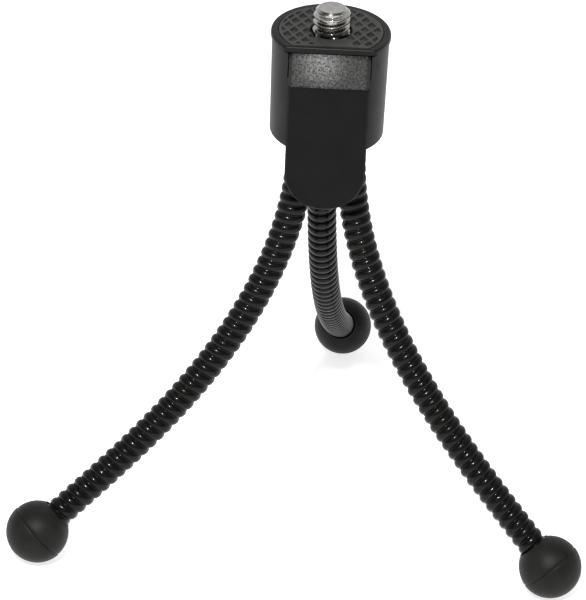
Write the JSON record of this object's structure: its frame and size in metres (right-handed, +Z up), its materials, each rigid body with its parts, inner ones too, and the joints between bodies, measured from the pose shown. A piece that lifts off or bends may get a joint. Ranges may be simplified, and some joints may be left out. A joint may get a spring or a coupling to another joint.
{
  "type": "mini tripod",
  "caption": "Mini tripod with a D-shaped quick-release head, threaded camera stud, front cam lever, gooseneck legs and ball feet.",
  "frame": {"origin": "on the floor, under the axis of the camera stud", "axes": "+Z up along the camera stud; +X to the right of somebody facing the lever; +Y away from the lever, towards the rear leg"},
  "size_m": [0.1049, 0.0897, 0.1039],
  "materials": {
    "head_plastic": "satin black",
    "lever_plastic": "matte black, textured on the sloping top",
    "pad_rubber": "matte black with a raised diamond lattice",
    "foot_rubber": "matte black",
    "winding": "gloss black",
    "bright_steel": "bright nickel plate",
    "steel": "plain",
    "aluminium": "turned",
    "brass": "plain"
  },
  "bodies": {
    "head": {"head_body": "head_plastic", "leg_carrier": "head_plastic", "carrier_screw": "steel", "hinge_pin": "steel"},
    "plate": {"top_plate": "head_plastic", "rubber_pad": "pad_rubber", "camera_stud": "bright_steel", "stud_washer": "steel"},
    "lever": {"release_lever": "lever_plastic"},
    "shoe": {"clamp_shoe": "brass"},
    "left_root": {"left_ferrule": "aluminium", "left_leg_1": "winding"},
    "left_bend_2": {"left_leg_2": "winding"},
    "left_bend_3": {"left_leg_3": "winding"},
    "left_bend_4": {"left_leg_4": "winding"},
    "left_bend_5": {"left_leg_5": "winding"},
    "left_bend_6": {"left_leg_6": "winding"},
    "left_bend_7": {"left_leg_7": "winding"},
    "left_foot": {"left_leg_8": "winding", "left_end_plug": "aluminium", "left_ball_foot": "foot_rubber"},
    "right_root": {"right_ferrule": "aluminium", "right_leg_1": "winding"},
    "right_bend_2": {"right_leg_2": "winding"},
    "right_bend_3": {"right_leg_3": "winding"},
    "right_bend_4": {"right_leg_4": "winding"},
    "right_bend_5": {"right_leg_5": "winding"},
    "right_bend_6": {"right_leg_6": "winding"},
    "right_bend_7": {"right_leg_7": "winding"},
    "right_foot": {"right_leg_8": "winding", "right_end_plug": "aluminium", "right_ball_foot": "foot_rubber"},
    "rear_root": {"rear_ferrule": "aluminium", "rear_leg_1": "winding"},
    "rear_bend_2": {"rear_leg_2": "winding"},
    "rear_bend_3": {"rear_leg_3": "winding"},
    "rear_bend_4": {"rear_leg_4": "winding"},
    "rear_bend_5": {"rear_leg_5": "winding"},
    "rear_bend_6": {"rear_leg_6": "winding"},
    "rear_bend_7": {"rear_leg_7": "winding"},
    "rear_foot": {"rear_leg_8": "winding", "rear_end_plug": "aluminium", "rear_ball_foot": "foot_rubber"}
  },
  "joints": [
    {"name": "lever_swing", "type": "hinge", "parent": "head", "child": "lever", "pos_m": [0, -0.0056, 0.096], "axis": [-1, 0, 0], "range_deg": [0, 50]},
    {"name": "shoe_slide", "type": "slide", "parent": "head", "child": "shoe", "axis": [0, -1, 0], "range_m": [-0.00002, 0.00032]},
    {"name": "plate_lift", "type": "slide", "parent": "head", "child": "plate", "axis": [0, 0, 1], "range_m": [0, 0.012]},
    {"name": "left_turn", "type": "hinge", "parent": "head", "child": "left_root", "pos_m": [-0.00415, -0.0028, 0.082], "axis": [0, 0, 1], "range_deg": [-30, 30]},
    {"name": "left_bend_1", "type": "hinge", "parent": "left_root", "child": "left_bend_2", "pos_m": [-0.00415, -0.0028, 0.0723], "axis": [-0.3907, 0.9205, 0], "range_deg": [-7, 8]},
    {"name": "left_bend_2", "type": "hinge", "parent": "left_bend_2", "child": "left_bend_3", "pos_m": [-0.00629, -0.00371, 0.06083], "axis": [-0.3907, 0.9205, 0], "range_deg": [-7.5, 8.5]},
    {"name": "left_bend_3", "type": "hinge", "parent": "left_bend_3", "child": "left_bend_4", "pos_m": [-0.0103, -0.00541, 0.04998], "axis": [-0.3907, 0.9205, 0], "range_deg": [-7.5, 8.5]},
    {"name": "left_bend_4", "type": "hinge", "parent": "left_bend_4", "child": "left_bend_5", "pos_m": [-0.01584, -0.00776, 0.03994], "axis": [-0.3907, 0.9205, 0], "range_deg": [-7.5, 8.5]},
    {"name": "left_bend_5", "type": "hinge", "parent": "left_bend_5", "child": "left_bend_6", "pos_m": [-0.02258, -0.01062, 0.03082], "axis": [-0.3907, 0.9205, 0], "range_deg": [-7.5, 8.5]},
    {"name": "left_bend_6", "type": "hinge", "parent": "left_bend_6", "child": "left_bend_7", "pos_m": [-0.0302, -0.01386, 0.02255], "axis": [-0.3907, 0.9205, 0], "range_deg": [-7.5, 8.5]},
    {"name": "left_bend_7", "type": "hinge", "parent": "left_bend_7", "child": "left_foot", "pos_m": [-0.0384, -0.01734, 0.01496], "axis": [-0.3907, 0.9205, 0], "range_deg": [-7.5, 8.5]},
    {"name": "right_turn", "type": "hinge", "parent": "head", "child": "right_root", "pos_m": [0.00449, -0.00219, 0.082], "axis": [0, 0, 1], "range_deg": [-30, 30]},
    {"name": "right_bend_1", "type": "hinge", "parent": "right_root", "child": "right_bend_2", "pos_m": [0.00449, -0.00219, 0.0723], "axis": [-0.509, -0.8607, 0], "range_deg": [-7, 8]},
    {"name": "right_bend_2", "type": "hinge", "parent": "right_bend_2", "child": "right_bend_3", "pos_m": [0.00651, -0.00339, 0.06084], "axis": [-0.509, -0.8607, 0], "range_deg": [-7.5, 8.5]},
    {"name": "right_bend_3", "type": "hinge", "parent": "right_bend_3", "child": "right_bend_4", "pos_m": [0.01025, -0.00559, 0.04997], "axis": [-0.509, -0.8607, 0], "range_deg": [-7.5, 8.5]},
    {"name": "right_bend_4", "type": "hinge", "parent": "right_bend_4", "child": "right_bend_5", "pos_m": [0.01536, -0.00862, 0.03989], "axis": [-0.509, -0.8607, 0], "range_deg": [-7.5, 8.5]},
    {"name": "right_bend_5", "type": "hinge", "parent": "right_bend_5", "child": "right_bend_6", "pos_m": [0.02154, -0.01227, 0.03065], "axis": [-0.509, -0.8607, 0], "range_deg": [-7.5, 8.5]},
    {"name": "right_bend_6", "type": "hinge", "parent": "right_bend_6", "child": "right_bend_7", "pos_m": [0.02846, -0.01637, 0.02216], "axis": [-0.509, -0.8607, 0], "range_deg": [-7.5, 8.5]},
    {"name": "right_bend_7", "type": "hinge", "parent": "right_bend_7", "child": "right_foot", "pos_m": [0.03586, -0.02074, 0.01422], "axis": [-0.509, -0.8607, 0], "range_deg": [-7.5, 8.5]},
    {"name": "rear_turn", "type": "hinge", "parent": "head", "child": "rear_root", "pos_m": [-0.00035, 0.00499, 0.082], "axis": [0, 0, 1], "range_deg": [-30, 30]},
    {"name": "rear_bend_1", "type": "hinge", "parent": "rear_root", "child": "rear_bend_2", "pos_m": [-0.00035, 0.00499, 0.0723], "axis": [0.9919, -0.1271, 0], "range_deg": [-7, 8]},
    {"name": "rear_bend_2", "type": "hinge", "parent": "rear_bend_2", "child": "rear_bend_3", "pos_m": [-0.00009, 0.007, 0.06078], "axis": [0.9919, -0.1271, 0], "range_deg": [-7.5, 8.5]},
    {"name": "rear_bend_3", "type": "hinge", "parent": "rear_bend_3", "child": "rear_bend_4", "pos_m": [0.00041, 0.01087, 0.04975], "axis": [0.9919, -0.1271, 0], "range_deg": [-7.5, 8.5]},
    {"name": "rear_bend_4", "type": "hinge", "parent": "rear_bend_4", "child": "rear_bend_5", "pos_m": [0.00111, 0.0164, 0.03946], "axis": [0.9919, -0.1271, 0], "range_deg": [-7.5, 8.5]},
    {"name": "rear_bend_5", "type": "hinge", "parent": "rear_bend_5", "child": "rear_bend_6", "pos_m": [0.002, 0.02334, 0.03008], "axis": [0.9919, -0.1271, 0], "range_deg": [-7.5, 8.5]},
    {"name": "rear_bend_6", "type": "hinge", "parent": "rear_bend_6", "child": "rear_bend_7", "pos_m": [0.00304, 0.03144, 0.0217], "axis": [0.9919, -0.1271, 0], "range_deg": [-7.5, 8.5]},
    {"name": "rear_bend_7", "type": "hinge", "parent": "rear_bend_7", "child": "rear_foot", "pos_m": [0.00419, 0.04041, 0.01428], "axis": [0.9919, -0.1271, 0], "range_deg": [-7.5, 8.5]}
  ],
  "couplings": [
    {"joint": "shoe_slide", "follows": "lever_swing", "m_per_rad": 0.00034377},
    {"joint": "left_bend_2", "follows": "left_bend_1", "ratio": 1},
    {"joint": "left_bend_3", "follows": "left_bend_1", "ratio": 1},
    {"joint": "left_bend_4", "follows": "left_bend_1", "ratio": 1},
    {"joint": "left_bend_5", "follows": "left_bend_1", "ratio": 1},
    {"joint": "left_bend_6", "follows": "left_bend_1", "ratio": 1},
    {"joint": "left_bend_7", "follows": "left_bend_1", "ratio": 1},
    {"joint": "right_bend_2", "follows": "right_bend_1", "ratio": 1},
    {"joint": "right_bend_3", "follows": "right_bend_1", "ratio": 1},
    {"joint": "right_bend_4", "follows": "right_bend_1", "ratio": 1},
    {"joint": "right_bend_5", "follows": "right_bend_1", "ratio": 1},
    {"joint": "right_bend_6", "follows": "right_bend_1", "ratio": 1},
    {"joint": "right_bend_7", "follows": "right_bend_1", "ratio": 1},
    {"joint": "rear_bend_2", "follows": "rear_bend_1", "ratio": 1},
    {"joint": "rear_bend_3", "follows": "rear_bend_1", "ratio": 1},
    {"joint": "rear_bend_4", "follows": "rear_bend_1", "ratio": 1},
    {"joint": "rear_bend_5", "follows": "rear_bend_1", "ratio": 1},
    {"joint": "rear_bend_6", "follows": "rear_bend_1", "ratio": 1},
    {"joint": "rear_bend_7", "follows": "rear_bend_1", "ratio": 1}
  ]
}
